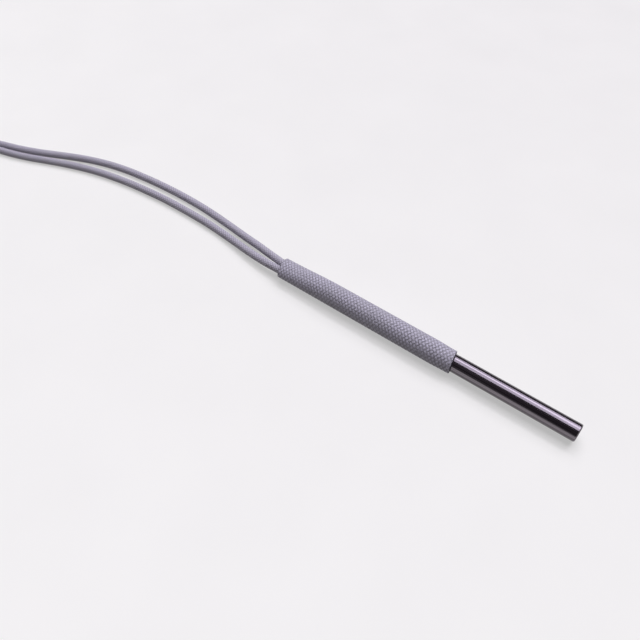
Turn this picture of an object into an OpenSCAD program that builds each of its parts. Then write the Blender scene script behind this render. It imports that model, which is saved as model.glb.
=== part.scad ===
// Small cartridge heater with a braided glass sleeve and two braided leads.
// It lies along X on its sleeve: the tip face is at the origin and looks to +X, and +Z is up.
// Sizes are in millimetres. Inside the body, places are counted from the tip face along the axis.

/* [Sheath] */
// Outer diameter of the sheath
sheath_d = 3; // [2.8:0.1:4]
// Length of the sheath
sheath_len = 25; // [22:1:40]
// Wall of the sheath
sheath_wall = 0.3; // [0.25:0.01:0.35]
// Radius on the edge of the tip
tip_round = 0.25; // [0.1:0.01:0.25]
// How far the lead end of the sheath is rolled in, on the radius
neck_in = 0.2; // [0.16:0.01:0.22]
// Length of the cone between the full diameter and the rolled-in end
neck_cone = 0.4; // [0.3:0.05:0.8]
// Thickness of the disc welded into the tip
end_disc_t = 1; // [0.8:0.1:1.5]

/* [Core and winding] */
// Diameter of the magnesia core
core_d = 1.4; // [1.35:0.05:1.5]
// Thickness of the insulating pad behind the end disc
tip_pad_t = 0.8; // [0.5:0.1:1.2]
// Diameter of the resistance wire
wire_d = 0.1; // [0.08:0.01:0.12]
// Whole turns of resistance wire on the core
winding_turns = 44; // [30:1:50]
// Room at each end of the core for the wire to reach its pin
wire_room = 0.3; // [0.25:0.01:0.5]

/* [Pins and seal] */
// Diameter of the terminal pins
pin_d = 0.5; // [0.4:0.02:0.52]
// Distance between the axes of the pins inside the core
pin_spacing = 0.7; // [0.66:0.02:0.72]
// How far the short pin reaches into the core
short_pin_depth = 6; // [3:0.5:10]
// Thickness of the mica washer
mica_t = 0.3; // [0.2:0.05:0.5]
// Length of the wide end of the ceramic bead, inside the neck
bead_shoulder = 0.9; // [0.6:0.1:1.5]
// How far the ceramic bead stands out of the sheath
bead_proud = 0.3; // [0.1:0.1:0.8]

/* [Splices] */
// Straight length of pin between the bead and the bend
pin_straight = 0.7; // [0.5:0.1:2]
// Length over which the pins spread to the leads
pin_spread = 2.5; // [2:0.1:4]
// Outer diameter of a crimp barrel
crimp_d = 1.1; // [1:0.05:1.2]
// Length of a crimp barrel
crimp_len = 6.5; // [5:0.5:8]
// Depth of the flats pressed into a crimp barrel
crimp_dent = 0.1; // [0.05:0.01:0.15]
// Wall of the small sleeve over each crimp
splice_wall = 0.12; // [0.1:0.01:0.14]
// Bare conductor between a crimp and its lead
splice_gap = 1; // [0.6:0.1:2]

/* [Braided sleeve] */
// Length of the braided sleeve
sleeve_len = 35; // [30:1:50]
// Wall of the braided sleeve at the top of its yarns
sleeve_wall = 0.4; // [0.3:0.05:0.6]
// Length of sheath that the sleeve covers
sleeve_cover = 3.5; // [2.5:0.1:5]
// Yarns around the braid
sleeve_yarns = 24; // [16:4:32]
// Distance along the axis between two rows of crossings
yarn_row = 0.45; // [0.4:0.05:0.9]
// Depth of the hollows between the yarns
yarn_depth = 0.13; // [0.05:0.01:0.2]
// Share of its height by which the rear end of the sleeve is pressed flat over the leads
sleeve_flat = 0.25; // [0:0.05:0.3]
// Length over which the sleeve goes flat
flat_len = 12; // [8:1:15]

/* [Leads] */
// Outer diameter of a braided lead
lead_d = 1.5; // [1.3:0.05:1.7]
// Diameter of the stranded conductor
conductor_d = 0.5; // [0.4:0.02:0.6]
// Length of each lead from the end of the sheath
lead_len = 300; // [280:5:330]
// Stripped length at the free end of each lead
bare_len = 6; // [4:0.5:8]

/* [Coiled leads] */
// Radius at the middle of the coiled pair
coil_mid_r = 8; // [7.5:0.1:9]
// Width of the tie around the coil
tie_w = 2; // [1.5:0.1:3]
// Thickness of the tie
tie_t = 0.4; // [0.3:0.05:0.6]
// Turn along the coil from its start to the tie, in degrees
tie_turn = 225; // [200:5:300]

/* [Hidden] */
$fn = 96;

// Clearances: between fitted pieces, between sleeve and contents, and between the two leads
fit = 0.02;
sleeve_gap = 0.1;
lead_gap = 0.1;

// The body, from the tip to the bead
sheath_r = sheath_d / 2;
bore_r = sheath_r - sheath_wall;
neck_start = sheath_len - sleeve_cover;
neck_end = neck_start + neck_cone;
tip_steps = 8;
pad_end = end_disc_t + tip_pad_t;
core_start = pad_end + wire_room;
bead_start = neck_start - bead_shoulder;
mica_start = bead_start - mica_t;
core_end = mica_start - wire_room;
bead_end = sheath_len + bead_proud;
core_r = core_d / 2;
winding_r = core_r + fit + wire_d / 2;
pin_off = pin_spacing / 2;
pin_hole_d = pin_d + 2 * fit;

// The winding: it starts in front of the long pin and ends half a turn on, beside the short pin
wire_start = core_start - fit - wire_d / 2;
wire_end = core_end + fit + wire_d / 2;
wire_steps = 12;
wire_sides = 5;
wire_count = wire_steps * winding_turns + wire_steps / 2;

// The splices, from the bead to the start of the insulated leads
lead_off = (lead_d + lead_gap) / 2;
bend_start = bead_end + pin_straight;
bend_end = bend_start + pin_spread;
crimp_start = bend_end + pin_straight;
crimp_mid = crimp_start + crimp_len / 2;
crimp_end = crimp_start + crimp_len;
crimp_bore = max(pin_d, conductor_d) + 2 * fit;
butt_gap = 0.3;
dent_len = crimp_len / 5;
splice_bore = crimp_d + 2 * fit;
lead_start = crimp_end + splice_gap;
pin_sides = 12;

// The braided sleeve, wide enough for the sheath and for the pair of leads
sleeve_start = neck_start;
sleeve_end = sleeve_start + sleeve_len;
sleeve_bore_r = max(sheath_r, lead_off + lead_d / 2) + sleeve_gap;
sleeve_r = sleeve_bore_r + sleeve_wall;
yarn_rows = round(sleeve_len / yarn_row);

// The flat rear end: how flat the sleeve is at a place, from 0 to 1, and how far its middle sinks there
flat_steps = 6;
flat_start = sleeve_end - flat_len;
function flatness(s) = let (u = max(0, (s - flat_start) / flat_len)) u * u * (3 - 2 * u);
function flat_sink(s) = sleeve_r * sleeve_flat / 2 * flatness(s);
mouth_z = -flat_sink(sleeve_end);

// The surface that everything lies on, and the height of the leads on it
floor_z = -sleeve_r;
lead_z = floor_z + lead_d / 2;

// Coiled pair, wound clockwise: place of its centre, turn of its start from -X, and its two radii
coil_centre = [-149.3, -9.4];
coil_turn = 30;
coil_a_r = coil_mid_r - lead_off;
coil_b_r = coil_mid_r + lead_off;
coil_base = floor_z + tie_t;
coil_rise = lead_d + lead_gap;
coil_edge = lead_d / 3;
coil_notch = lead_gap;

function coil_start(r) = [
    coil_centre.x + r * sin(coil_turn),
    coil_centre.y - r * cos(coil_turn),
    coil_base + lead_d / 2
];

// Routes of the leads on the surface, from the sleeve to the start of the coil
lead_sides = 8;
function in_sleeve(side) = [
    [-lead_start, side * lead_off, 0],
    [-(lead_start + flat_start) / 2, side * lead_off, 0],
    [-(flat_start + sleeve_end) / 2, side * lead_off, mouth_z / 2],
    [-sleeve_end, side * lead_off, mouth_z]
];
route_a = concat(
    in_sleeve(1),
    [[-60, 1.3, -0.5], [-64, 2, -0.8], [-68, 2.6, -1.1]],
    [for (p = [[-72, 3.2], [-76, 3.6], [-80, 3.9], [-84, 4], [-88, 3.95], [-92, 3.75], [-96, 3.4],
               [-100, 2.9], [-104, 2.1], [-108, 0.9], [-112, -0.7], [-116, -2.6], [-120, -4.5],
               [-124, -6.1], [-128, -7.4], [-132, -8.85], [-136, -10.5]]) [p.x, p.y, lead_z]],
    [[-140, -12.45, lead_z + tie_t / 4], [-143, -14.1, lead_z + tie_t * 3 / 4], coil_start(coil_a_r)]
);
route_b = concat(
    in_sleeve(-1),
    [[-60, -0.7, -0.5], [-64, -0.3, -0.8], [-68, 0.3, -1.1]],
    [for (p = [[-72, 0.8], [-76, 1.1], [-80, 1.2], [-84, 1.2], [-88, 1.1], [-92, 0.8], [-96, 0.4],
               [-100, -0.2], [-104, -1], [-108, -2.1], [-112, -3.5], [-116, -5.1], [-120, -6.8],
               [-124, -8.2], [-128, -9.3], [-132, -10.65], [-136, -12.35]]) [p.x, p.y, lead_z]],
    [[-140, -14.4, lead_z + tie_t / 4], [-142.5, -15.75, lead_z + tie_t * 3 / 4], coil_start(coil_b_r)]
);

// Turns that the rest of each insulated lead takes up in the coil, and the height where it ends
function path_length(path, i = 0) =
    i + 1 < len(path) ? norm(path[i + 1] - path[i]) + path_length(path, i + 1) : 0;
inside_len = sleeve_end - lead_start;
outside_len = lead_len - (sleeve_end - sheath_len) - bare_len;
turns_a = (outside_len + inside_len - path_length(route_a)) / (2 * PI * coil_a_r);
turns_b = (outside_len + inside_len - path_length(route_b)) / (2 * PI * coil_b_r);
end_a_z = lead_d / 2 + coil_rise * turns_a;
end_b_z = lead_d / 2 + coil_rise * turns_b;
coil_a_h = end_a_z - conductor_d / 2 - fit;
coil_b_h = end_b_z - conductor_d / 2 - fit;
coil_inner_r = coil_a_r - lead_d / 2;
coil_outer_r = coil_b_r + lead_d / 2;

// The tie is straight across its width, so it stands off the round of the coil
tie_gap = tie_w * tie_w / (8 * coil_inner_r) + fit;

// Colours
STEEL = [0.63, 0.61, 0.66];
NICKEL = [0.72, 0.70, 0.66];
MAGNESIA = [0.90, 0.88, 0.83];
MICA = [0.70, 0.62, 0.48];
GLASS_YARN = [0.86, 0.84, 0.88];
TIE = [0.92, 0.92, 0.90];

// Turns the body's own axis, from the tip to the leads, onto -X
module along_axis() {
    rotate([0, -90, 0]) children();
}

// A turned piece from its half section of [radius, place along the axis] points
module turned(section) {
    along_axis() rotate_extrude() polygon(section);
}

// A turned disc or tube between two places along the axis
module tube(from, to, outer_r, inner_r = 0) {
    turned([[inner_r, from], [outer_r, from], [outer_r, to], [inner_r, to]]);
}

// Both pin holes, cut through whatever lies between two places along the axis
module pin_holes(from, to) {
    along_axis()
        for (side = [-1, 1])
            translate([0, side * pin_off, from]) cylinder(d = pin_hole_d, h = to - from);
}

function unit(v) = v / norm(v);
function direction(path, i) = unit(path[min(i + 1, len(path) - 1)] - path[max(i - 1, 0)]);

// The ring of points around one point of a path that never runs straight up
function ring(path, i, d, sides) =
    let (
        ahead = direction(path, i),
        across = unit(cross(ahead, [0, 0, 1])),
        above = cross(across, ahead)
    )
    [for (k = [0 : sides - 1])
        let (a = 360 * k / sides)
        path[i] + d / 2 * (cos(a) * across + sin(a) * above)];

// A round wire swept along a path
module swept(path, d, sides) {
    last = len(path) - 1;
    points = [for (i = [0 : last]) each ring(path, i, d, sides)];
    walls = [
        for (i = [0 : last - 1], k = [0 : sides - 1])
            let (k2 = (k + 1) % sides, here = i * sides, next = here + sides)
            each [[here + k, here + k2, next + k2], [here + k, next + k2, next + k]]
    ];
    caps = [[for (k = [sides - 1 : -1 : 0]) k], [for (k = [0 : sides - 1]) last * sides + k]];
    polyhedron(points, concat(walls, caps));
}

// Steel tube with a rounded tip, rolled in at the lead end to hold the bead
module sheath() {
    tip_arc = [
        for (k = [0 : tip_steps])
            let (a = 90 * k / tip_steps)
            [sheath_r - tip_round * (1 - sin(a)), tip_round * (1 - cos(a))]
    ];
    color(STEEL) turned(concat(
        [[bore_r, 0]],
        tip_arc,
        [
            [sheath_r, neck_start],
            [sheath_r - neck_in, neck_end],
            [sheath_r - neck_in, sheath_len],
            [bore_r - neck_in, sheath_len],
            [bore_r - neck_in, neck_end],
            [bore_r, neck_start]
        ]
    ));
}

// Disc welded flush into the tip
module end_disc() {
    color(STEEL) tube(0, end_disc_t, bore_r - fit);
}

// Pad that keeps the winding off the end disc
module tip_pad() {
    color(MAGNESIA) tube(end_disc_t, pad_end, bore_r - fit);
}

// Magnesia rod with two lengthwise holes, which carries the winding
module winding_core() {
    color(MAGNESIA) difference() {
        tube(core_start, core_end, core_r);
        pin_holes(core_start - wire_room, core_end + wire_room);
    }
}

// Resistance wire: in from the end of the long pin, round the core, and in to the short pin
module heating_coil() {
    winding = [
        for (k = [0 : wire_count])
            let (a = 90 + 360 * k / wire_steps)
            [winding_r * cos(a), winding_r * sin(a), wire_start + (wire_end - wire_start) * k / wire_count]
    ];
    path = concat(
        [[0, pin_off, wire_start]],
        winding,
        [[0, -(pin_off + pin_d / 2 + fit), wire_end]]
    );
    color(NICKEL) along_axis() swept(path, wire_d, wire_sides);
}

// Packed magnesia between the winding and the sheath
module magnesia_fill() {
    color(MAGNESIA) tube(pad_end, mica_start, bore_r - fit, winding_r + wire_d / 2 + fit);
}

// Terminal pin: through the core and the bead, then spread to the place of its lead
module pin(side, from) {
    path = [
        [0, side * pin_off, from],
        [0, side * pin_off, bend_start],
        [0, side * lead_off, bend_end],
        [0, side * lead_off, crimp_mid - butt_gap / 2]
    ];
    points = [for (p = path) [-p.z, p.y, p.x]];
    color(NICKEL) swept(points, pin_d, pin_sides);
}

module long_pin() {
    pin(1, core_start);
}

module short_pin() {
    pin(-1, core_end - short_pin_depth);
}

// Mica washer between the core and the bead
module mica_washer() {
    color(MICA) difference() {
        tube(mica_start, bead_start, bore_r - fit);
        pin_holes(mica_start - mica_t, bead_start + mica_t);
    }
}

// Ceramic bead: its shoulder sits behind the rolled-in end of the sheath
module end_bead() {
    color(MAGNESIA) difference() {
        turned([
            [0, bead_start],
            [bore_r - fit, bead_start],
            [bore_r - fit, neck_start],
            [bore_r - neck_in - fit, neck_end],
            [bore_r - neck_in - fit, bead_end],
            [0, bead_end]
        ]);
        pin_holes(bead_start - mica_t, bead_end + mica_t);
    }
}

// Crimp barrel that joins a pin and a conductor, with a flat pressed in over each
module crimp(side) {
    color(NICKEL) along_axis() translate([0, side * lead_off, crimp_start]) difference() {
        cylinder(d = crimp_d, h = crimp_len);
        translate([0, 0, -fit]) cylinder(d = crimp_bore, h = crimp_len + 2 * fit);
        for (place = [0.25, 0.75], face = [-1, 1])
            translate([face * (crimp_d - crimp_dent), 0, place * crimp_len])
                cube([crimp_d, 2 * crimp_d, dent_len], center = true);
    }
}

module crimp_a() {
    crimp(1);
}

module crimp_b() {
    crimp(-1);
}

// Small insulating sleeve over a crimp
module splice_sleeve(side) {
    color(GLASS_YARN) along_axis() translate([0, side * lead_off, bend_end]) difference() {
        cylinder(d = splice_bore + 2 * splice_wall, h = lead_start - bend_end);
        translate([0, 0, -fit]) cylinder(d = splice_bore, h = lead_start - bend_end + 2 * fit);
    }
}

module splice_sleeve_a() {
    splice_sleeve(1);
}

module splice_sleeve_b() {
    splice_sleeve(-1);
}

// Stripped conductor between a crimp and the start of the insulated lead
module conductor(side) {
    from = crimp_mid + butt_gap / 2;
    color(NICKEL) along_axis() translate([0, side * lead_off, from])
        cylinder(d = conductor_d, h = lead_start - from);
}

module conductor_a() {
    conductor(1);
}

module conductor_b() {
    conductor(-1);
}

// Braided tube: yarn crossings stand up at every second point of a grid, with hollows between.
// Its rear end is pressed into a flat oval that sinks towards the surface.
module braided_sleeve() {
    columns = sleeve_yarns;
    function yarn_ring(r, s) = [
        for (i = [0 : columns - 1])
            let (a = 360 * i / columns)
            [r[i % 2] * cos(a) * (1 - sleeve_flat * flatness(s)) - flat_sink(s), r[i % 2] * sin(a), s]
    ];
    crossing_r = [sleeve_r, sleeve_r - yarn_depth];
    hollow_r = [sleeve_r - yarn_depth, sleeve_r];
    outer = [
        for (j = [0 : yarn_rows])
            each yarn_ring(j % 2 == 0 ? crossing_r : hollow_r, sleeve_start + sleeve_len * j / yarn_rows)
    ];
    bore_places = concat([sleeve_start], [for (k = [0 : flat_steps]) flat_start + flat_len * k / flat_steps]);
    bore = [for (s = bore_places) each yarn_ring([sleeve_bore_r, sleeve_bore_r], s)];
    first = len(outer);
    last = first + columns * (len(bore_places) - 1);
    top = yarn_rows * columns;
    weave = [
        for (j = [0 : yarn_rows - 1], i = [0 : columns - 1])
            let (i2 = (i + 1) % columns, a = j * columns + i, b = j * columns + i2)
            let (c = a + columns, d = b + columns)
            each (i + j) % 2 == 0 ? [[a, c, d], [a, d, b]] : [[a, c, b], [c, d, b]]
    ];
    bore_wall = [
        for (j = [0 : len(bore_places) - 2], i = [0 : columns - 1])
            let (i2 = (i + 1) % columns, a = first + j * columns + i, b = first + j * columns + i2)
            let (c = a + columns, d = b + columns)
            each [[a, b, d], [a, d, c]]
    ];
    ends = [
        for (i = [0 : columns - 1])
            let (i2 = (i + 1) % columns)
            each [
                [i, i2, first + i2],
                [i, first + i2, first + i],
                [top + i2, top + i, last + i],
                [top + i2, last + i, last + i2]
            ]
    ];
    color(GLASS_YARN) along_axis() polyhedron(concat(outer, bore), concat(weave, bore_wall, ends));
}

module lead_a() {
    color(GLASS_YARN) swept(route_a, lead_d, lead_sides);
}

module lead_b() {
    color(GLASS_YARN) swept(route_b, lead_d, lead_sides);
}

// Puts a piece on the coil, turned on by an angle along it. A piece is drawn as on a coil that starts on +Y
// and runs to -X; the mirror makes it run clockwise.
module on_coil(turn = 0) {
    translate([coil_centre.x, coil_centre.y, coil_base])
        rotate([0, 0, coil_turn]) mirror([0, 1, 0]) rotate([0, 0, turn]) children();
}

// Outer shape of the coiled pair, with room at the bottom for the two leads to come in
module lead_coil() {
    color(GLASS_YARN) on_coil() difference() {
        rotate_extrude() polygon([
            [coil_inner_r + coil_edge, 0],
            [coil_outer_r - coil_edge, 0],
            [coil_outer_r, coil_edge],
            [coil_outer_r, coil_b_h - coil_edge],
            [coil_outer_r - coil_edge, coil_b_h],
            [coil_mid_r, coil_b_h],
            [coil_mid_r, coil_a_h - coil_edge],
            [coil_mid_r - coil_edge, coil_a_h],
            [coil_inner_r + coil_edge, coil_a_h],
            [coil_inner_r, coil_a_h - coil_edge],
            [coil_inner_r, coil_edge]
        ]);
        translate([-coil_notch, coil_inner_r - lead_gap, -tie_t])
            cube([coil_outer_r, coil_outer_r, coil_rise + tie_t]);
    }
}

// Tie around the section of the coil, with its small head on the outside
module coil_tie() {
    low = coil_inner_r - tie_gap;
    high = coil_outer_r + tie_gap;
    color(TIE) on_coil(tie_turn + 90) rotate([90, 0, 0]) {
        linear_extrude(tie_w, center = true) difference() {
            polygon([
                [low - tie_t, -tie_t],
                [high + tie_t, -tie_t],
                [high + tie_t, coil_b_h + tie_t],
                [coil_mid_r + tie_t, coil_a_h + fit + tie_t],
                [low - tie_t, coil_a_h + fit + tie_t]
            ]);
            polygon([
                [low, -fit],
                [high, -fit],
                [high, coil_b_h + fit],
                [coil_mid_r + fit, coil_a_h + fit],
                [low, coil_a_h + fit]
            ]);
        }
        translate([high + tie_t, coil_b_h / 2, -tie_w * 0.7]) cube([tie_w / 2, tie_w, tie_w * 1.4]);
    }
}

// Stripped strands at the free end of a lead, where it ends on top of the coil
module bare_end(r, turns, height) {
    color(NICKEL) on_coil(360 * turns) translate([0, r, height]) along_axis()
        cylinder(d = conductor_d, h = bare_len);
}

module bare_end_a() {
    bare_end(coil_a_r, turns_a, end_a_z);
}

module bare_end_b() {
    bare_end(coil_b_r, turns_b, end_b_z);
}

sheath();
end_disc();
tip_pad();
winding_core();
heating_coil();
magnesia_fill();
long_pin();
short_pin();
mica_washer();
end_bead();
crimp_a();
crimp_b();
splice_sleeve_a();
splice_sleeve_b();
conductor_a();
conductor_b();
braided_sleeve();
lead_a();
lead_b();
lead_coil();
coil_tie();
bare_end_a();
bare_end_b();
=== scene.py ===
"""A small cartridge heater with a braided glass sleeve and two braided leads, dressed for rendering.

Everything is in metres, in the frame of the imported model: the tip face is at the origin and looks to +X,
the heater lies along X and +Z is up. Places along the heater are counted from the tip, so x = -place.
"""

from math import cos, pi, radians, sin

import bpy
import numpy as np
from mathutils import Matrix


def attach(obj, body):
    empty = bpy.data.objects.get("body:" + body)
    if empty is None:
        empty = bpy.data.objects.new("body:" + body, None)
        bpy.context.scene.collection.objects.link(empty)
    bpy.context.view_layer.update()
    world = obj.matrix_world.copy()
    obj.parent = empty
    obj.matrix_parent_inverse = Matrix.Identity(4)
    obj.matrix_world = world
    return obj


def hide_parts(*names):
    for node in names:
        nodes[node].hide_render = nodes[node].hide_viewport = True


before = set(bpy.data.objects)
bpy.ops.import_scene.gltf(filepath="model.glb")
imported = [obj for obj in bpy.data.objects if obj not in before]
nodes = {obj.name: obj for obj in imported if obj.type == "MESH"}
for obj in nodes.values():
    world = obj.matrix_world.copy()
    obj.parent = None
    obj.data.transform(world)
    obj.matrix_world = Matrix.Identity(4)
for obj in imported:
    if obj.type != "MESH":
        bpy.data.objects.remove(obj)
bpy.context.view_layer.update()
scene = bpy.context.scene


# Camera: a short normal lens close to the heater, looking down on it from over its sheath, so the sheath
# is near and the leads run away to the upper left.
camera_data = bpy.data.cameras.new("camera")
camera_data.sensor_width = 36
camera_data.lens = 36.95
camera_data.clip_start = 0.005
camera = bpy.data.objects.new("camera", camera_data)
camera.location = (-0.0032, -0.0625, 0.0865)
camera.rotation_euler = (radians(38.84), radians(-0.76), radians(36.58))
scene.collection.objects.link(camera)
scene.camera = camera


# Winding core, pads and fill: pressed magnesia, white and chalky, fired before the core is wound.
# They sit inside the sheath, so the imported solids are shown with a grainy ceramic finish.
def add_node(tree, kind, inputs=None, **settings):
    """A node in tree with its properties set. An input that is a socket is linked, any other is a value."""
    made = tree.nodes.new(kind)
    for name, value in settings.items():
        setattr(made, name, value)
    for name, value in (inputs or {}).items():
        if isinstance(value, bpy.types.NodeSocket):
            tree.links.new(value, made.inputs[name])
        else:
            made.inputs[name].default_value = value
    return made


def new_group(name, inputs, outputs):
    """An empty shader group. Returns its tree, the sockets it reads and the sockets it fills."""
    tree = bpy.data.node_groups.new(name, "ShaderNodeTree")
    for label, kind in inputs:
        tree.interface.new_socket(label, in_out="INPUT", socket_type=kind)
    for label, kind in outputs:
        tree.interface.new_socket(label, in_out="OUTPUT", socket_type=kind)
    return tree, tree.nodes.new("NodeGroupInput").outputs, tree.nodes.new("NodeGroupOutput").inputs


COLOUR, NUMBER, VECTOR = "NodeSocketColor", "NodeSocketFloat", "NodeSocketVector"


def make_grain():
    """Group for solid finishes: one noise in Object coordinates, stretched by a vector, blends two colours
    and two roughnesses and comes out as a height."""
    tree, given, result = new_group(
        "grain",
        [("Stretch", VECTOR), ("Scale", NUMBER), ("Light", COLOUR), ("Dark", COLOUR),
         ("Smooth", NUMBER), ("Rough", NUMBER)],
        [("Color", COLOUR), ("Roughness", NUMBER), ("Height", NUMBER)],
    )
    place = add_node(tree, "ShaderNodeTexCoord").outputs["Object"]
    stretched = add_node(tree, "ShaderNodeVectorMath", {0: place, 1: given["Stretch"]},
                         operation="MULTIPLY")
    noise = add_node(tree, "ShaderNodeTexNoise",
                     {"Vector": stretched.outputs[0], "Scale": given["Scale"], "Detail": 4.0})
    spread = add_node(tree, "ShaderNodeMapRange",
                      {"Value": noise.outputs["Fac"], "From Min": 0.3, "From Max": 0.7})
    shade = add_node(tree, "ShaderNodeMix",
                     {0: spread.outputs[0], 6: given["Dark"], 7: given["Light"]}, data_type="RGBA")
    gloss = add_node(tree, "ShaderNodeMix", {0: spread.outputs[0], 2: given["Smooth"], 3: given["Rough"]})
    tree.links.new(shade.outputs[2], result["Color"])
    tree.links.new(gloss.outputs[0], result["Roughness"])
    tree.links.new(spread.outputs[0], result["Height"])
    return tree


grain = make_grain()


def new_finish(name, group, values, height, **constants):
    """A material whose Principled shader takes colour, roughness and bump from a group. height is the depth
    of the bump in metres; constants are plain values of the shader's own sockets."""
    material = bpy.data.materials.new(name)
    material.use_nodes = True
    tree = material.node_tree
    shader = tree.nodes["Principled BSDF"]
    for socket, value in constants.items():
        shader.inputs[socket.replace("_", " ")].default_value = value
    effect = add_node(tree, "ShaderNodeGroup", node_tree=group)
    for socket, value in values.items():
        effect.inputs[socket].default_value = value
    bump = add_node(tree, "ShaderNodeBump",
                    {"Height": effect.outputs["Height"], "Strength": 1.0, "Distance": height})
    tree.links.new(effect.outputs["Color"], shader.inputs["Base Color"])
    tree.links.new(effect.outputs["Roughness"], shader.inputs["Roughness"])
    tree.links.new(bump.outputs["Normal"], shader.inputs["Normal"])
    return material, effect


def dress(material, *names):
    """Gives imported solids, which keep their shape, a finish."""
    for name in names:
        nodes[name].data.materials.clear()
        nodes[name].data.materials.append(material)


magnesia, _ = new_finish(
    "magnesia", grain,
    {"Stretch": (1, 1, 1), "Scale": 9000, "Light": (0.82, 0.79, 0.72, 1), "Dark": (0.66, 0.62, 0.54, 1),
     "Smooth": 0.75, "Rough": 0.95},
    height=8e-6,
)
dress(magnesia, "tip_pad", "winding_core", "magnesia_fill", "end_bead")


# Heating wire: a bright nickel-chrome wire wound on the core and joined to both pins. Its first heating
# leaves it a little brown.
wire_alloy, _ = new_finish(
    "wire_alloy", grain,
    {"Stretch": (1, 1, 1), "Scale": 14000, "Light": (0.46, 0.43, 0.40, 1), "Dark": (0.24, 0.21, 0.19, 1),
     "Smooth": 0.3, "Rough": 0.5},
    height=2e-6, Metallic=1.0,
)
dress(wire_alloy, "heating_coil")


# Pins, crimps and stripped conductors: nickel, drawn lengthwise. The pins pass through the bead, and the
# crimp barrels join them to the stripped ends of the leads.
nickel, _ = new_finish(
    "nickel", grain,
    {"Stretch": (0.02, 1, 1), "Scale": 16000, "Light": (0.70, 0.66, 0.60, 1), "Dark": (0.50, 0.47, 0.42, 1),
     "Smooth": 0.22, "Rough": 0.42},
    height=3e-6, Metallic=1.0,
)
dress(nickel, "long_pin", "short_pin", "crimp_a", "crimp_b", "conductor_a", "conductor_b")


# Mica washer: a thin split sheet, brown and faintly layered, punched with two holes for the pins. It lies
# between the core and the bead.
mica, _ = new_finish(
    "mica", grain,
    {"Stretch": (12, 1, 1), "Scale": 2500, "Light": (0.50, 0.38, 0.22, 1), "Dark": (0.30, 0.21, 0.11, 1),
     "Smooth": 0.3, "Rough": 0.6},
    height=6e-6,
)
dress(mica, "mica_washer")


# Sheath: a drawn and polished steel tube. Its tip edge is rounded over, and its lead end is rolled in over
# the bead, under the braided sleeve. The polishing leaves fine lines along the tube.
sheath_r, bore_r, sheath_length = 0.0015, 0.0012, 0.025
tip_round = 0.00025
neck_start, neck_end, neck_in = 0.0215, 0.0219, 0.0002
around_sheath, tip_rings, body_rings = 160, 13, 40


def new_piece(name, rings, uv=None, closed=False, sharp=50):
    """A piece of quads between closed rings of points[strip, ring, point], in metres. Faces look out when
    the points of a ring turn anticlockwise as seen from the strip's far end. A closed strip joins its last
    ring to its first; an open one is capped. uv gives each corner a pair of numbers, and has one more
    point to the ring, so it needn't close."""
    strips, count, around = rings.shape[:3]
    index = np.arange(strips * count * around).reshape(strips, count, around)
    caps = index[:, [0, -1]]
    caps[:, 0] = caps[:, 0, ::-1]
    grid = np.concatenate([index, index[:, :, :1]], axis=2)
    if closed:
        grid = np.concatenate([grid, grid[:, :1]], axis=1)
        caps = caps[:0]

    def corners(g):
        return np.stack([g[:, :-1, :-1], g[:, :-1, 1:], g[:, 1:, 1:], g[:, 1:, :-1]], axis=3)

    quads = corners(grid).reshape(-1, 4)
    caps = caps.reshape(-1, around)
    mesh = bpy.data.meshes.new(name)
    mesh.vertices.add(index.size)
    mesh.vertices.foreach_set("co", rings.astype(np.float32).ravel())
    mesh.loops.add(quads.size + caps.size)
    mesh.loops.foreach_set("vertex_index", np.r_[quads.ravel(), caps.ravel()].astype(np.int32))
    starts = np.r_[np.arange(len(quads)) * 4, quads.size + np.arange(len(caps)) * around]
    mesh.polygons.add(len(starts))
    mesh.polygons.foreach_set("loop_start", starts.astype(np.int32))
    if uv is not None:
        ends = np.zeros((caps.size, 2))
        corner_uv = np.concatenate([corners(uv).reshape(-1, 2), ends])
        mesh.uv_layers.new(name="weave").data.foreach_set("uv", corner_uv.astype(np.float32).ravel())
    mesh.update(calc_edges=True)
    mesh.shade_smooth()
    mesh.set_sharp_from_angle(angle=radians(sharp))
    piece = bpy.data.objects.new(name, mesh)
    scene.collection.objects.link(piece)
    return piece


def lathe(profile, around):
    """Rings of a turned piece: each [place, radius] of the profile turns about the heater's axis, so its
    point at angle t is (-place, radius sin t, radius cos t)."""
    place, radius = np.asarray(profile).T[:, :, None]
    turn = np.linspace(0, 2 * pi, around, endpoint=False)
    rings = np.stack(np.broadcast_arrays(-place, radius * np.sin(turn), radius * np.cos(turn)), axis=2)
    return rings[None]


tip_turn = np.linspace(0, pi / 2, tip_rings)
tip_arc = np.c_[tip_round * (1 - np.sin(tip_turn)), sheath_r - tip_round * (1 - np.cos(tip_turn))][::-1]
body_places = np.linspace(tip_round, neck_start, body_rings)[1:]
sheath_profile = np.concatenate([
    [[0, bore_r]],
    tip_arc,
    np.c_[body_places, np.full(len(body_places), sheath_r)],
    [[neck_end, sheath_r - neck_in],
     [sheath_length, sheath_r - neck_in],
     [sheath_length, bore_r - neck_in],
     [neck_end, bore_r - neck_in],
     [neck_start, bore_r]],
])
sheath = new_piece("sheath_tube", lathe(sheath_profile, around_sheath), closed=True)
polished_steel, _ = new_finish(
    "polished_steel", grain,
    {"Stretch": (0.003, 1, 1), "Scale": 6500, "Light": (0.265, 0.238, 0.262, 1),
     "Dark": (0.032, 0.028, 0.032, 1), "Smooth": 0.08, "Rough": 0.22},
    height=5e-6, Metallic=1.0,
)
sheath.data.materials.append(polished_steel)
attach(sheath, "root")
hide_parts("sheath")


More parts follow.
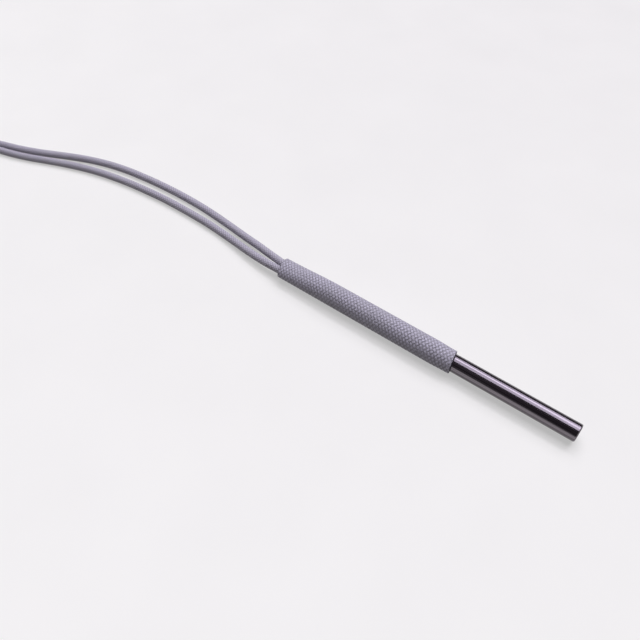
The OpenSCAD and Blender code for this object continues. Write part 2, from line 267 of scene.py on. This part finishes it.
# End disc: a steel disc welded flush into the tip and faced off. The weld leaves a shallow groove round its
# rim, and the facing leaves rings.
disc_r, disc_depth = 0.00118, 0.001
ring_count, first_ring_r, last_ring_r = 27, 0.00003, 0.00105
face_depth, ring_step = 0.00002, 0.000003
rim_and_groove = [[0.00001, 0.00109], [0.00002, 0.00113], [0.00005, disc_r]]
ring_r = np.linspace(first_ring_r, last_ring_r, ring_count)
ring_depth = face_depth + ring_step * (np.arange(ring_count) % 2)
disc_profile = np.concatenate([
    np.c_[ring_depth, ring_r],
    rim_and_groove,
    [[disc_depth, disc_r], [disc_depth, first_ring_r]],
])
end_disc = new_piece("tip_disc", lathe(disc_profile, around_sheath))
faced_steel, _ = new_finish(
    "faced_steel", grain,
    {"Stretch": (1, 1, 1), "Scale": 5000, "Light": (0.205, 0.183, 0.213, 1),
     "Dark": (0.133, 0.115, 0.14, 1), "Smooth": 0.2, "Rough": 0.38},
    height=4e-6, Metallic=1.0,
)
end_disc.data.materials.append(faced_steel)
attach(end_disc, "root")
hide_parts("end_disc")


# Leads: stranded nickel in a braided glass jacket, soft and off-white. They start at the splices inside the
# sleeve, lie on the table, and the length past the picture is wound into a coil, side by side in tiers.
lead_r, lead_off = 0.00075, 0.0008
sleeve_r = 0.00205
lead_z = -sleeve_r + lead_r
tie_thickness = 0.0004
coil_centre, coil_turn = np.array([-0.1493, -0.0094]), radians(30)
coil_mid_r, coil_rise = 0.008, 0.00165
climb_start, climb_share = 0.65, 0.24
points_to_a_turn = 72
coil_first_z = -sleeve_r + tie_thickness + lead_r
lead_length = 0.2823
splice_place, level_place, sinking_place, exit_place = 0.0367, 0.0406, 0.0505, 0.0565
lead_yarns = 8
lead_points = 4 * lead_yarns
yarn_step = 2 * pi * lead_r / lead_yarns
weave_depth, yarn_narrow = 0.00012, 1.7
sunk_share, lift_share = 0.7, 0.3
mouth_drop = 0.000256


def line_through(points, step):
    """A smooth line through points: cubic pieces whose slopes are central differences over the chords.
    It comes back as points a step apart along its length."""
    chord = np.r_[0, np.cumsum(np.linalg.norm(np.diff(points, axis=0), axis=1))]
    slope = np.gradient(points, chord, axis=0)
    fine = np.linspace(0, chord[-1], int(4 * chord[-1] / step))
    i = np.clip(np.searchsorted(chord, fine, side="right") - 1, 0, len(points) - 2)
    span = (chord[i + 1] - chord[i])[:, None]
    u = (fine - chord[i])[:, None] / span
    line = (
        (2 * u**3 - 3 * u**2 + 1) * points[i] + (u**3 - 2 * u**2 + u) * span * slope[i]
        + (3 * u**2 - 2 * u**3) * points[i + 1] + (u**3 - u**2) * span * slope[i + 1]
    )
    length = np.r_[0, np.cumsum(np.linalg.norm(np.diff(line, axis=0), axis=1))]
    places = np.arange(0, length[-1], step)
    return np.stack([np.interp(places, length, line[:, k]) for k in range(3)], axis=1)


def ease(u):
    """An even step from 0 to 1 while u goes from 0 to 1."""
    u = np.clip(u, 0, 1)
    return u * u * (3 - 2 * u)


def lead_line(route, coil_r, step):
    """The centreline of a lead: its route on the table, then a coil that runs clockwise. Its point at turn
    t, counted from its start, is the centre plus coil_r at the start's angle less t. It lies level and
    climbs to the next tier over a share of each turn. The turns take up what length is left."""
    laid = np.linalg.norm(np.diff(route, axis=0), axis=1).sum()
    swept = (lead_length - laid) / coil_r
    turn = np.linspace(0, swept, int(points_to_a_turn * swept / (2 * pi)))[1:]
    angle = coil_turn - pi / 2 - turn
    whole = np.floor(turn / (2 * pi) - climb_start)
    tier = whole + ease((turn / (2 * pi) - climb_start - whole) / climb_share)
    coil = np.stack([
        coil_centre[0] + coil_r * np.cos(angle),
        coil_centre[1] + coil_r * np.sin(angle),
        coil_first_z + coil_rise * tier,
    ], axis=1)
    return line_through(np.concatenate([route, coil]), step)


def frames(line):
    """Unit vectors along, above and across a line that never runs straight up."""
    along = np.gradient(line, axis=0)
    along /= np.linalg.norm(along, axis=1, keepdims=True)
    across = np.cross(along, (0, 0, 1))
    across /= np.linalg.norm(across, axis=1, keepdims=True)
    return along, np.cross(across, along), across


def braided_tube(name, line):
    """A braided jacket along a line. Two families of yarns have the phases p = n t + s and q = n t - s, for
    the turn t round the jacket and the place s counted in yarn steps. A yarn is a half round across its
    phase, raised where cos(pi p) cos(pi q) puts it on top, and the surface is the higher family."""
    turn = np.arange(lead_points + 1) / lead_points
    place = np.arange(len(line))[:, None] / 4
    p, q = lead_yarns * turn + place, lead_yarns * turn - place
    on_top = np.cos(pi * p) * np.cos(pi * q)

    def yarn(phase, lift):
        half_round = np.sqrt(1 - (yarn_narrow * (phase - np.round(phase))) ** 2)
        return half_round * (sunk_share + lift_share * lift)

    height = np.maximum(yarn(p, on_top), yarn(q, -on_top))
    radius = (lead_r - weave_depth * (1 - height))[:, :-1, None]
    _, above, across = frames(line)
    angle = (2 * pi * turn[:-1])[:, None]
    rings = line[:, None] + radius * (np.cos(angle) * above[:, None] + np.sin(angle) * across[:, None])
    return new_piece(name, rings[None], uv=np.stack([p, q], axis=2)[None], sharp=180)


def maths(tree, operation, a, b=0.0, c=0.0):
    """The result of a Math node."""
    return add_node(tree, "ShaderNodeMath", {0: a, 1: b, 2: c}, operation=operation).outputs[0]


def make_yarn():
    """Group for braided glass: Weave holds the phases of both yarn families. The family on top gives the
    place across a yarn, which makes filament lines and painted shade at the yarns' edges, the product of
    both cosines paints a highlight on each crossing's crest, and a wide noise soils the colour."""
    tree, given, result = new_group(
        "yarn",
        [("Weave", VECTOR), ("Filaments", NUMBER), ("Light", COLOUR), ("Dark", COLOUR), ("Stain", COLOUR)],
        [("Color", COLOUR), ("Roughness", NUMBER), ("Height", NUMBER)],
    )
    phases = add_node(tree, "ShaderNodeSeparateXYZ", {0: given["Weave"]})
    p, q = phases.outputs[0], phases.outputs[1]
    p_wave = maths(tree, "COSINE", maths(tree, "MULTIPLY", p, pi))
    q_wave = maths(tree, "COSINE", maths(tree, "MULTIPLY", q, pi))
    order = maths(tree, "MULTIPLY", p_wave, q_wave)
    first_on_top = maths(tree, "GREATER_THAN", order, 0.0)
    phase = maths(tree, "MULTIPLY_ADD", first_on_top, maths(tree, "SUBTRACT", p, q), q)
    off_centre = maths(tree, "SUBTRACT", phase, maths(tree, "ROUND", phase))
    # The yarn's round profile, which in the colour also paints shade towards the yarn's edges.
    crown_and_edge_shade = maths(tree, "MULTIPLY_ADD", maths(tree, "MULTIPLY", off_centre, off_centre), -4.0, 1.0)
    turns = maths(tree, "MULTIPLY", phase, given["Filaments"])
    filament = maths(tree, "SINE", maths(tree, "MULTIPLY", turns, 2 * pi))
    fibres = maths(tree, "MULTIPLY_ADD", filament, 0.12, crown_and_edge_shade)
    # The crossing mask sets where a highlight is painted on each crossing's crest.
    crest_highlight = maths(tree, "MULTIPLY_ADD", maths(tree, "ABSOLUTE", order), 0.8, 0.2)
    raised = maths(tree, "MAXIMUM", maths(tree, "MULTIPLY", fibres, crest_highlight), 0.0)
    lit = maths(tree, "MINIMUM", maths(tree, "POWER", raised, 1.5), 1.0)
    place = add_node(tree, "ShaderNodeTexCoord").outputs["Object"]
    noise = add_node(tree, "ShaderNodeTexNoise", {"Vector": place, "Scale": 260.0, "Detail": 5.0})
    soil = add_node(tree, "ShaderNodeMapRange",
                    {"Value": noise.outputs["Fac"], "From Min": 0.45, "From Max": 0.75, "To Max": 0.6})
    # Painted light: the crest highlight and the shaded yarn edges are mixed into the colour, between Dark
    # and Light.
    shade = add_node(tree, "ShaderNodeMix", {0: lit, 6: given["Dark"], 7: given["Light"]}, data_type="RGBA")
    stained = add_node(tree, "ShaderNodeMix",
                       {0: soil.outputs[0], 6: shade.outputs[2], 7: given["Stain"]}, data_type="RGBA")
    dull = add_node(tree, "ShaderNodeMapRange", {"Value": lit, "To Min": 0.85, "To Max": 0.4})
    tree.links.new(stained.outputs[2], result["Color"])
    tree.links.new(dull.outputs[0], result["Roughness"])
    tree.links.new(lit, result["Height"])
    return tree


yarn_group = make_yarn()


def read_weave(material, effect):
    """Feeds the piece's own weave map to the yarn group."""
    tree = material.node_tree
    weave = add_node(tree, "ShaderNodeUVMap", uv_map="weave")
    tree.links.new(weave.outputs["UV"], effect.inputs["Weave"])


# Light is the glass's tone with a painted highlight on the crossings, Dark is painted shade at the yarn
# edges.
lead_glass, effect = new_finish(
    "lead_glass", yarn_group,
    {"Filaments": 5.0, "Light": (0.62, 0.60, 0.664, 1), "Dark": (0.335, 0.323, 0.354, 1),
     "Stain": (0.438, 0.43, 0.455, 1)},
    height=2e-5,
)
read_weave(lead_glass, effect)

table_a = np.array([
    [-72, 3.2], [-76, 3.6], [-80, 3.9], [-84, 4], [-88, 3.95], [-92, 3.75], [-96, 3.4], [-100, 2.9],
    [-104, 2.1], [-108, 0.9], [-112, -0.7], [-116, -2.6], [-120, -4.5], [-124, -6.1], [-128, -7.4],
    [-132, -8.85], [-136, -10.5],
]) / 1000
table_b = np.array([
    [-72, 0.8], [-76, 1.1], [-80, 1.2], [-84, 1.2], [-88, 1.1], [-92, 0.8], [-96, 0.4], [-100, -0.2],
    [-104, -1], [-108, -2.1], [-112, -3.5], [-116, -5.1], [-120, -6.8], [-124, -8.2], [-128, -9.3],
    [-132, -10.65], [-136, -12.35],
]) / 1000
drop_a = np.array([[-60, 1.3, -0.5], [-64, 2, -0.8], [-68, 2.6, -1.1]]) / 1000
drop_b = np.array([[-60, -0.7, -0.5], [-64, -0.3, -0.8], [-68, 0.3, -1.1]]) / 1000
climb_a = np.array([[-140, -12.45, -1.2], [-143, -14.1, -1.0]]) / 1000
climb_b = np.array([[-140, -14.4, -1.2], [-142.5, -15.75, -1.0]]) / 1000


def lead_route(side, drop, table, climb, coil_r):
    """Points of a lead from its splice through the sleeve, down to the table, along it, up onto the tie and
    to the start of its coil."""
    y = side * lead_off
    covered = [
        [-splice_place, y, 0], [-level_place, y, 0],
        [-sinking_place, y, -mouth_drop / 2], [-exit_place, y, -mouth_drop],
    ]
    flat = np.c_[table, np.full(len(table), lead_z)]
    start_x = coil_centre[0] + coil_r * sin(coil_turn)
    start_y = coil_centre[1] - coil_r * cos(coil_turn)
    return np.concatenate([covered, drop, flat, climb, [[start_x, start_y, coil_first_z]]])


coil_a_r, coil_b_r = coil_mid_r - lead_off, coil_mid_r + lead_off
line_a = lead_line(lead_route(1, drop_a, table_a, climb_a, coil_a_r), coil_a_r, yarn_step / 4)
line_b = lead_line(lead_route(-1, drop_b, table_b, climb_b, coil_b_r), coil_b_r, yarn_step / 4)
lead_a = braided_tube("lead_a_braid", line_a)
lead_b = braided_tube("lead_b_braid", line_b)
for lead in (lead_a, lead_b):
    lead.data.materials.append(lead_glass)
    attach(lead, "root")


# Free ends of the leads: the jackets are stripped back and seven nickel strands stand out, one straight and
# six laid round it.
bare_length, strand_r, lay_length = 0.006, 0.00008, 0.005
strand_rings, strand_points = 40, 8


def strands(name, line):
    """Seven round strands from the end of a line: strand k starts at angle 2 pi k / 6 round the middle one
    and turns once in a lay length, so its centre is the middle plus two strand radii at that angle."""
    along, above, across = (v[-1] for v in frames(line))
    along = np.array([along[0], along[1], 0]) / np.hypot(along[0], along[1])
    place = np.linspace(0, bare_length, strand_rings)
    start = 2 * pi * np.arange(7)[:, None] / 6
    off = np.where(np.arange(7) == 6, 0, 2 * strand_r)[:, None, None]
    turn = (start + 2 * pi * place / lay_length)[:, :, None]
    centre = line[-1] + place[:, None] * along + off * (np.cos(turn) * above + np.sin(turn) * across)
    angle = np.linspace(0, 2 * pi, strand_points, endpoint=False)[:, None]
    rings = centre[:, :, None] + strand_r * (np.cos(angle) * above + np.sin(angle) * across)
    return new_piece(name, rings, sharp=60)


bare_a = strands("bare_strands_a", line_a)
bare_b = strands("bare_strands_b", line_b)
for bare, node in ((bare_a, "bare_end_a"), (bare_b, "bare_end_b")):
    bare.data.materials.append(nickel)
    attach(bare, "root")
    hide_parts(node)


# Tie: a flat band of white plastic pulled round the coil, with a small moulded head on the outside that
# holds it. It keeps the tiers together and lies under the lowest one.
tie_width = 0.002
tie_angle = coil_turn - pi / 2 - radians(225)
tie_out = np.array([cos(tie_angle), sin(tie_angle), 0])
tie_side = np.array([-sin(tie_angle), cos(tie_angle), 0])
coil_base = -sleeve_r + tie_thickness
inner_top, outer_top = 0.0065, 0.0050
tie_gap, tie_corner_r = 0.0001, 0.0005
band_rings, band_points = 120, 16
tie_low = coil_a_r - lead_r - tie_gap
tie_high = coil_b_r + lead_r + tie_gap
head_size, head_height = np.array([0.0005, 0.0014, 0.001]), 0.0036
head_rings, head_points, head_square, pole_gap = 33, 48, 0.3, 0.02


def tie_band():
    """A flat band along a rounded polygon round the coil's section: for each outward direction, the corner
    that lies furthest that way plus the corner radius in that direction."""
    inner = np.array([
        [tie_low + tie_corner_r, tie_corner_r],
        [tie_high - tie_corner_r, tie_corner_r],
        [tie_high - tie_corner_r, outer_top - tie_corner_r],
        [coil_mid_r, inner_top - tie_corner_r],
        [tie_low + tie_corner_r, inner_top - tie_corner_r],
    ])
    turn = np.linspace(0, 2 * pi, band_rings, endpoint=False)
    out = np.stack([np.cos(turn), np.sin(turn)], axis=1)
    furthest = inner[np.argmax(out @ inner.T, axis=1)]
    path = furthest + (tie_corner_r + tie_thickness / 2) * out
    around = np.linspace(0, 2 * pi, band_points, endpoint=False)[:, None]
    edge = np.sign(np.cos(around)) * np.abs(np.cos(around)) ** 0.5
    wide = np.sign(np.sin(around)) * np.abs(np.sin(around)) ** 0.4

    def in_space(pair):
        return pair[:, :1] * tie_out + pair[:, 1:] * np.array([0, 0, 1])

    middle = np.append(coil_centre, coil_base) + in_space(path)
    section = tie_thickness / 2 * edge * in_space(out)[:, None] + tie_width / 2 * wide * tie_side
    return new_piece("tie_band", (middle[:, None] + section)[None], closed=True, sharp=60)


def tie_head():
    """A rounded block: a ball whose sines and cosines are raised to a small power, stretched to size."""
    middle = np.append(coil_centre, coil_base) + (tie_high + tie_thickness + head_size[0]) * tie_out
    middle[2] += head_height
    tilt = np.linspace(-pi / 2 + pole_gap, pi / 2 - pole_gap, head_rings)[:, None]
    turn = np.linspace(0, 2 * pi, head_points, endpoint=False)

    def squared(x):
        return np.sign(x) * np.abs(x) ** head_square

    u = squared(np.cos(tilt)) * squared(np.cos(turn)) * head_size[0]
    v = squared(np.cos(tilt)) * squared(np.sin(turn)) * head_size[1]
    w = np.broadcast_to(squared(np.sin(tilt)), u.shape) * head_size[2]
    rings = middle + u[..., None] * tie_out + v[..., None] * tie_side + w[..., None] * np.array([0, 0, 1])
    return new_piece("tie_head", rings[None], sharp=60)


band = tie_band()
head = tie_head()
tie_plastic, _ = new_finish(
    "tie_plastic", grain,
    {"Stretch": (1, 1, 1), "Scale": 1800, "Light": (0.78, 0.77, 0.74, 1), "Dark": (0.68, 0.67, 0.63, 1),
     "Smooth": 0.35, "Rough": 0.5},
    height=4e-6,
)
for piece in (band, head):
    piece.data.materials.append(tie_plastic)
    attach(piece, "root")
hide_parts("coil_tie")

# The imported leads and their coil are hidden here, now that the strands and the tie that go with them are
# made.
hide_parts("lead_a", "lead_coil")
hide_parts("lead_b")


# Splice sleeves: short lengths of fine woven glass tube pushed over the crimps, so that they don't touch
# inside the braided sleeve.
splice_glass, _ = new_finish(
    "splice_glass", grain,
    {"Stretch": (1, 1, 1), "Scale": 6000, "Light": (0.62, 0.60, 0.64, 1), "Dark": (0.46, 0.44, 0.48, 1),
     "Smooth": 0.7, "Rough": 0.9},
    height=2e-5,
)
dress(splice_glass, "splice_sleeve_a", "splice_sleeve_b")


# Braided sleeve: 24 flat glass yarns, twelve each way, braided over and under into a tube. It is pushed
# over the lead end of the sheath and covers the splices and the first stretch of the leads.
sleeve_start, sleeve_length = 0.0215, 0.035
sleeve_end = sleeve_start + sleeve_length
flat_share, flat_length = 0.25, 0.012
yarns_each_way = 12
sleeve_turns = 4.375
yarn_width, yarn_thickness, yarn_swing = 0.00060, 0.00020, 0.00005
samples_to_a_crossing = 5
grip_r, mouth_share, mouth_length = 0.00153, 0.25, 0.004
lean = 0.17


def flat_at(place):
    """Share of its height that the sleeve has lost at a place: it goes flat over its last stretch."""
    return flat_share * ease((place - sleeve_end + flat_length) / flat_length)


def on_sleeve(place, turn, radius):
    """A point of the sleeve. The wall is drawn in towards the sheath at the mouth, the rear end is an oval
    that is lower by the flat share and sinks by half of that, and all of it leans along the axis by a share
    of its place across, as it was cut askew."""
    opened = 1 - mouth_share * (1 - ease((place - sleeve_start) / mouth_length))
    radius = grip_r + (radius - grip_r) * opened
    across = radius * np.sin(turn)
    high = radius * (1 - flat_at(place)) * np.cos(turn) - sleeve_r * flat_at(place) / 2
    return np.stack(np.broadcast_arrays(-place - lean * across, across, high), axis=-1)


def sleeve_yarns():
    """Flat yarns on a tube: yarn k of each way starts at turn k / 12 and winds evenly along the tube. The
    two ways cross 24 times a turn, and each passes over and under by a cosine of that count. A yarn's
    section is half an ellipse with a flat back, thin across the wall and wide along it."""
    way = np.repeat([1, -1], yarns_each_way)[:, None]
    start = 2 * pi * np.tile(np.arange(yarns_each_way), 2)[:, None] / yarns_each_way
    crossings = round(2 * yarns_each_way * sleeve_turns)
    t = np.linspace(0, 1, samples_to_a_crossing * crossings + 1)
    turn = start + way * 2 * pi * sleeve_turns * t
    crossing = crossings * t
    middle_r = sleeve_r - yarn_swing - yarn_thickness / 2
    place = sleeve_start + sleeve_length * t
    line = on_sleeve(place, turn, middle_r + way * yarn_swing * np.cos(pi * crossing))
    along = np.gradient(line, axis=1)
    along /= np.linalg.norm(along, axis=2, keepdims=True)
    out = np.stack([0 * turn, np.sin(turn) * (1 - flat_at(place)), np.cos(turn)], axis=2)
    out -= along * (along * out).sum(axis=2, keepdims=True)
    out /= np.linalg.norm(out, axis=2, keepdims=True)
    side = np.cross(along, out)
    angle = np.radians([-90, -45, 0, 45, 90, 180, 270])
    ring = angle[:-1, None]
    rings = (
        line[:, :, None] + yarn_thickness / 2 * np.cos(ring) * out[:, :, None]
        + yarn_width / 2 * np.sin(ring) * side[:, :, None]
    )
    slant = lean * rings[..., 1]
    rings[..., 0] = np.clip(rings[..., 0] + slant, -sleeve_end, -sleeve_start) - slant
    across = 2 * np.arange(2 * yarns_each_way)[:, None, None] + 0.49 * np.sin(angle)
    over_first = (crossing + (way < 0))[:, :, None]
    uv = np.stack(np.broadcast_arrays(across, over_first), axis=3)
    return new_piece("sleeve_yarns", rings, uv=uv, sharp=180)


sleeve = sleeve_yarns()
# Light is the glass's tone with a painted highlight on the crossings, Dark is painted shade at the yarn
# edges.
sleeve_glass, effect = new_finish(
    "sleeve_glass", yarn_group,
    {"Filaments": 7.0, "Light": (0.54, 0.524, 0.60, 1), "Dark": (0.312, 0.302, 0.326, 1),
     "Stain": (0.352, 0.345, 0.366, 1)},
    height=1.5e-5,
)
read_weave(sleeve_glass, effect)
sleeve.data.materials.append(sleeve_glass)
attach(sleeve, "root")
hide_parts("braided_sleeve")

lining_r, lining_bore_r, lining_count, lining_around = 0.00178, 0.00165, 40, 96
lining_end = sleeve_end - 0.0001
lining_mouth = [[sleeve_start + 0.00004, grip_r], [sleeve_start, 0.00158], [sleeve_start, 0.00176]]
outer_places = np.linspace(sleeve_start + 0.0005, lining_end, lining_count)
inner_places = np.linspace(lining_end, sleeve_start + 0.0036, lining_count)
lining_profile = np.concatenate([
    lining_mouth,
    np.c_[outer_places, np.full(lining_count, lining_r)],
    np.c_[inner_places, np.full(lining_count, lining_bore_r)],
    [[sleeve_start + 0.0034, grip_r]],
])
lining_turn = np.linspace(0, 2 * pi, lining_around, endpoint=False)
lining_rings = on_sleeve(lining_profile[:, :1], lining_turn, lining_profile[:, 1:])
lining = new_piece("sleeve_lining", lining_rings[None], closed=True)
lining_glass, _ = new_finish(
    "lining_glass", grain,
    {"Stretch": (1, 1, 1), "Scale": 7000, "Light": (0.424, 0.41, 0.445, 1),
     "Dark": (0.303, 0.292, 0.317, 1), "Smooth": 0.8, "Rough": 0.95},
    height=2e-5,
)
lining.data.materials.append(lining_glass)
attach(lining, "root")


# Table: a wide matt sheet that everything lies on. For the camera and in the steel it glows by itself, so
# it looks white there and keeps a soft shadow, while the light it throws back onto the heater stays low.
# For the camera the glow makes up for the lamps' light, which falls as 1 / (1 + (away / height)^2)^2.
table_size, table_gap = 2.0, 1e-5
lit_middle, lit_height = (-0.04, 0.15, 0), 0.46
far_glow, glow_drop, steel_glow = 0.86, 0.52, 0.43
table_mesh = bpy.data.meshes.new("table")
corner = np.array([[-1, -1], [1, -1], [1, 1], [-1, 1]]) * table_size / 2
table_mesh.from_pydata(np.c_[corner, np.full(4, -sleeve_r - table_gap)].tolist(), [], [[0, 1, 2, 3]])
table = bpy.data.objects.new("table", table_mesh)
scene.collection.objects.link(table)
paper, _ = new_finish(
    "paper", grain,
    {"Stretch": (1, 1, 1), "Scale": 60, "Light": (0.46, 0.459, 0.418, 1), "Dark": (0.44, 0.439, 0.40, 1),
     "Smooth": 0.85, "Rough": 0.95},
    height=1e-6, Specular_IOR_Level=0.2, Emission_Color=(1, 1, 1, 1),
)
paper_tree = paper.node_tree
rays = add_node(paper_tree, "ShaderNodeLightPath").outputs
place = add_node(paper_tree, "ShaderNodeTexCoord").outputs["Object"]
away = add_node(paper_tree, "ShaderNodeVectorMath", {0: place, 1: lit_middle},
                operation="DISTANCE").outputs["Value"]
spread = maths(paper_tree, "POWER", maths(paper_tree, "DIVIDE", away, lit_height), 2.0)
near = maths(paper_tree, "POWER", maths(paper_tree, "ADD", spread, 1.0), -2.0)
filled = maths(paper_tree, "MULTIPLY_ADD", near, -glow_drop, far_glow)
mirrored = maths(paper_tree, "MAXIMUM", rays["Is Glossy Ray"], rays["Is Transmission Ray"])
to_camera = maths(paper_tree, "MULTIPLY", rays["Is Camera Ray"], filled)
glow = maths(paper_tree, "MULTIPLY_ADD", mirrored, steel_glow, to_camera)
paper_tree.links.new(glow, paper_tree.nodes["Principled BSDF"].inputs["Emission Strength"])
table_mesh.materials.append(paper)


# Light: a large soft lamp above and behind lays a broad band along the upper side of the sheath, with a
# bright core from a narrow one in front of it. Both are faintly violet. The surround is faint, and pale
# only for the camera and, low down and past both ends of the heater, for the steel.
lamp_x, lamp_colour = -0.04, (0.98, 0.95, 1.09)
dark_surround, steel_surround = (0.075, 0.065, 0.078, 1), (0.464, 0.458, 0.467, 1)
camera_backdrop = (0.892, 0.885, 0.895, 1)


def softbox(name, lift, away, length, width, power):
    """A soft lamp at a distance from the heater, lifted by an angle over the table behind it. It faces the
    heater, with its length along it."""
    data = bpy.data.lights.new(name, "AREA")
    data.shape = "RECTANGLE"
    data.size = length
    data.size_y = width
    data.energy = power
    data.color = lamp_colour
    lamp = bpy.data.objects.new(name, data)
    lamp.location = (lamp_x, away * cos(radians(lift)), away * sin(radians(lift)))
    lamp.rotation_euler = (radians(lift - 90), 0, 0)
    scene.collection.objects.link(lamp)


softbox("lamp_broad", lift=69, away=0.42, length=0.46, width=0.48, power=1.85)
softbox("lamp_core", lift=63, away=0.40, length=0.42, width=0.08, power=0.46)

world = bpy.data.worlds.new("surround")
world.use_nodes = True
world_tree = world.node_tree
rays = add_node(world_tree, "ShaderNodeLightPath").outputs
direction = add_node(world_tree, "ShaderNodeTexCoord").outputs["Generated"]
parts = add_node(world_tree, "ShaderNodeSeparateXYZ", {0: direction}).outputs


def fade(value, low, high):
    """1 where value is under low, 0 where it is over high, with an even step between."""
    return add_node(
        world_tree, "ShaderNodeMapRange",
        {"Value": value, "From Min": low, "From Max": high, "To Min": 1.0, "To Max": 0.0},
        interpolation_type="SMOOTHSTEP",
    ).outputs[0]


along = maths(world_tree, "SUBTRACT", 1.0, fade(maths(world_tree, "ABSOLUTE", parts[0]), 0.35, 0.65))
past_ends = maths(world_tree, "MULTIPLY", along, fade(parts[2], 0.7, 0.95))
low_down = maths(world_tree, "MAXIMUM", fade(parts[2], 0.0, 0.14), past_ends)
mirrored = maths(world_tree, "MAXIMUM", rays["Is Glossy Ray"], rays["Is Transmission Ray"])
in_steel = maths(world_tree, "MULTIPLY", mirrored, low_down)
surround = add_node(world_tree, "ShaderNodeMix",
                    {0: in_steel, 6: dark_surround, 7: steel_surround}, data_type="RGBA")
backdrop = add_node(world_tree, "ShaderNodeMix",
                    {0: rays["Is Camera Ray"], 6: surround.outputs[2], 7: camera_backdrop},
                    data_type="RGBA")
world_tree.links.new(backdrop.outputs[2], world_tree.nodes["Background"].inputs["Color"])
scene.world = world

scene.view_settings.view_transform = "Standard"
